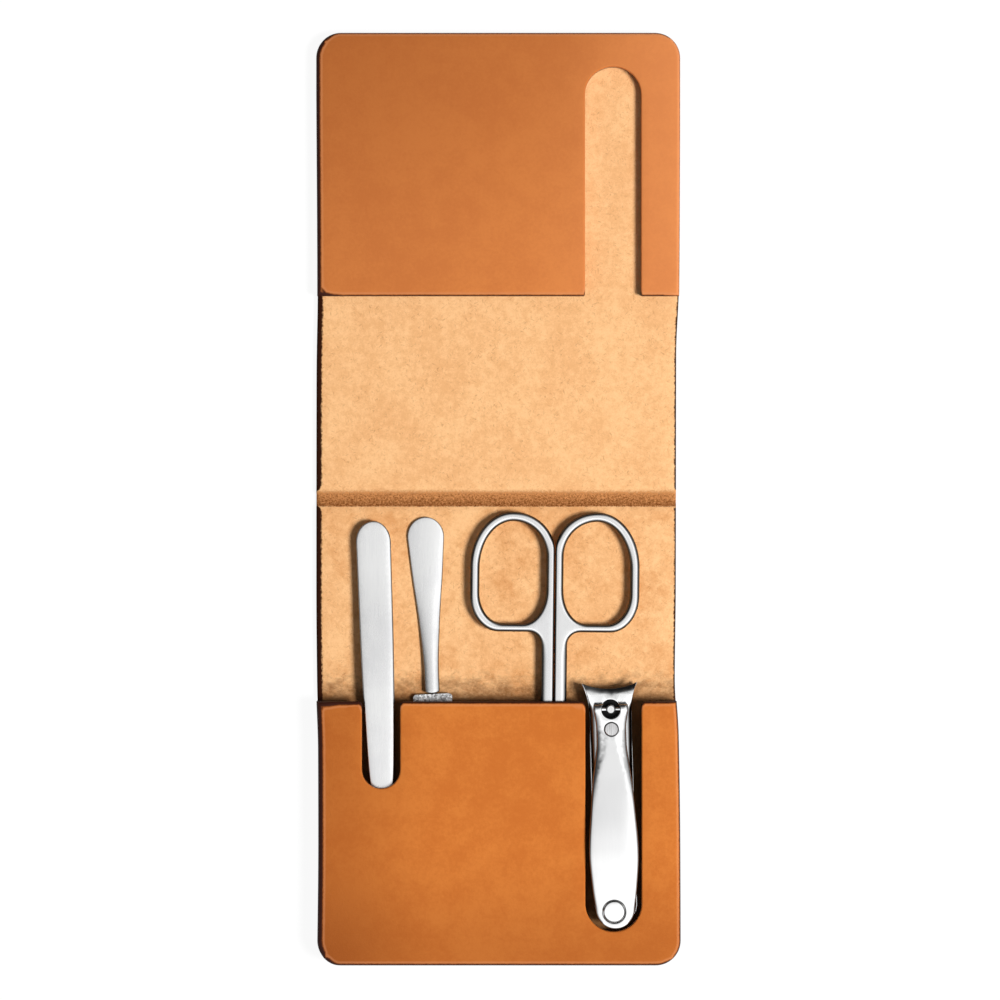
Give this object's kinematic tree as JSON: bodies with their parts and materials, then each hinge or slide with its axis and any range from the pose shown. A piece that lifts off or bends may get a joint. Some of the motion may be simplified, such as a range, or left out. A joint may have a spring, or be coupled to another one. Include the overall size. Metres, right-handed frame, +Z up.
{
  "type": "manicure set case",
  "caption": "Open leather manicure case with a folding flap and a slotted pocket that holds tweezers, a nail file, nail scissors and a lever nail clipper.",
  "frame": {"origin": "on the table, under the middle of the fold, with the case open flat", "axes": "+X to the right across the case, +Y from the fold to the flap's free end, +Z up"},
  "size_m": [0.09, 0.23, 0.0104],
  "materials": {
    "cover_leather": "undyed flesh side, napped, with burnished dark edges",
    "front_leather": "smooth tan grain side, satin, with burnished dark edges",
    "satin_steel": "satin stainless steel",
    "polished_steel": "polished stainless steel",
    "grit_coating": "sparkling abrasive grit on steel",
    "magnet_nickel": "nickel plated"
  },
  "bodies": {
    "base": {"base_panel": "cover_leather", "pocket_spacer": "cover_leather", "pocket_front": "front_leather", "pocket_magnets": "magnet_nickel"},
    "fold": {"fold_strip": "cover_leather"},
    "flap": {"flap_panel": "cover_leather", "flap_overlay": "front_leather", "flap_magnets": "magnet_nickel"},
    "tweezers": {"tweezers_back_arm": "satin_steel"},
    "tweezers_front": {"tweezers_front_arm": "satin_steel"},
    "file": {"file_handle": "satin_steel", "file_blade": "grit_coating"},
    "scissors": {"scissors_screw": "polished_steel"},
    "scissors_left": {"scissors_left_half": "satin_steel"},
    "scissors_right": {"scissors_right_half": "satin_steel"},
    "clipper": {"clipper_lower_arm": "satin_steel", "clipper_tail_rivet": "polished_steel"},
    "clipper_upper": {"clipper_upper_arm": "satin_steel"},
    "clipper_pin": {"clipper_pin": "polished_steel"},
    "clipper_lever": {"clipper_lever": "satin_steel", "clipper_fulcrum_stud": "polished_steel", "clipper_lever_disc": "polished_steel"}
  },
  "joints": [
    {"name": "spine_fold", "type": "hinge", "parent": "base", "child": "fold", "pos_m": [0, -0.0037, 0.0026], "axis": [1, 0, 0], "range_deg": [0, 90]},
    {"name": "flap_fold", "type": "hinge", "parent": "fold", "child": "flap", "pos_m": [0, 0.0037, 0.0026], "axis": [1, 0, 0], "range_deg": [0, 90]},
    {"name": "tweezers_slide", "type": "slide", "parent": "base", "child": "tweezers", "axis": [0.0356, -0.9994, 0], "range_m": [-0.044, 0]},
    {"name": "tweezers_squeeze", "type": "hinge", "parent": "tweezers", "child": "tweezers_front", "pos_m": [-0.03052, -0.01759, 0.0039], "axis": [-0.9994, -0.0356, 0], "range_deg": [-1.4, 0], "stiffness_Nm_per_rad": 0.4},
    {"name": "file_slide", "type": "slide", "parent": "base", "child": "file", "axis": [0.0436, -0.999, 0], "range_m": [-0.052, 0]},
    {"name": "scissors_slide", "type": "slide", "parent": "base", "child": "scissors", "axis": [-0.0105, -0.9999, 0], "range_m": [-0.044, 0]},
    {"name": "scissors_open", "type": "hinge", "parent": "scissors", "child": "scissors_left", "pos_m": [0.0136, -0.0615, 0.0042], "axis": [0, 0, -1], "range_deg": [-12, 0]},
    {"name": "scissors_open_right", "type": "hinge", "parent": "scissors", "child": "scissors_right", "pos_m": [0.0136, -0.0615, 0.0042], "axis": [0, 0, -1], "range_deg": [0, 12]},
    {"name": "clipper_lift", "type": "slide", "parent": "base", "child": "clipper", "axis": [0, 0, -1], "range_m": [-0.012, 0]},
    {"name": "clipper_squeeze", "type": "hinge", "parent": "clipper", "child": "clipper_upper", "pos_m": [0.02918, -0.10178, 0.00334], "axis": [0.9996, 0.0297, 0], "range_deg": [-1.1, 0], "stiffness_Nm_per_rad": 0.8},
    {"name": "lever_swivel", "type": "hinge", "parent": "clipper", "child": "clipper_pin", "pos_m": [0.0277, -0.0518, 0.00895], "axis": [0, 0, 1], "range_deg": [-180, 0]},
    {"name": "lever_tilt", "type": "hinge", "parent": "clipper_pin", "child": "clipper_lever", "pos_m": [0.0277, -0.0518, 0.00895], "axis": [0.9996, 0.0297, 0], "range_deg": [-170, 0]}
  ],
  "couplings": [
    {"joint": "scissors_open_right", "follows": "scissors_open", "ratio": -1}
  ]
}
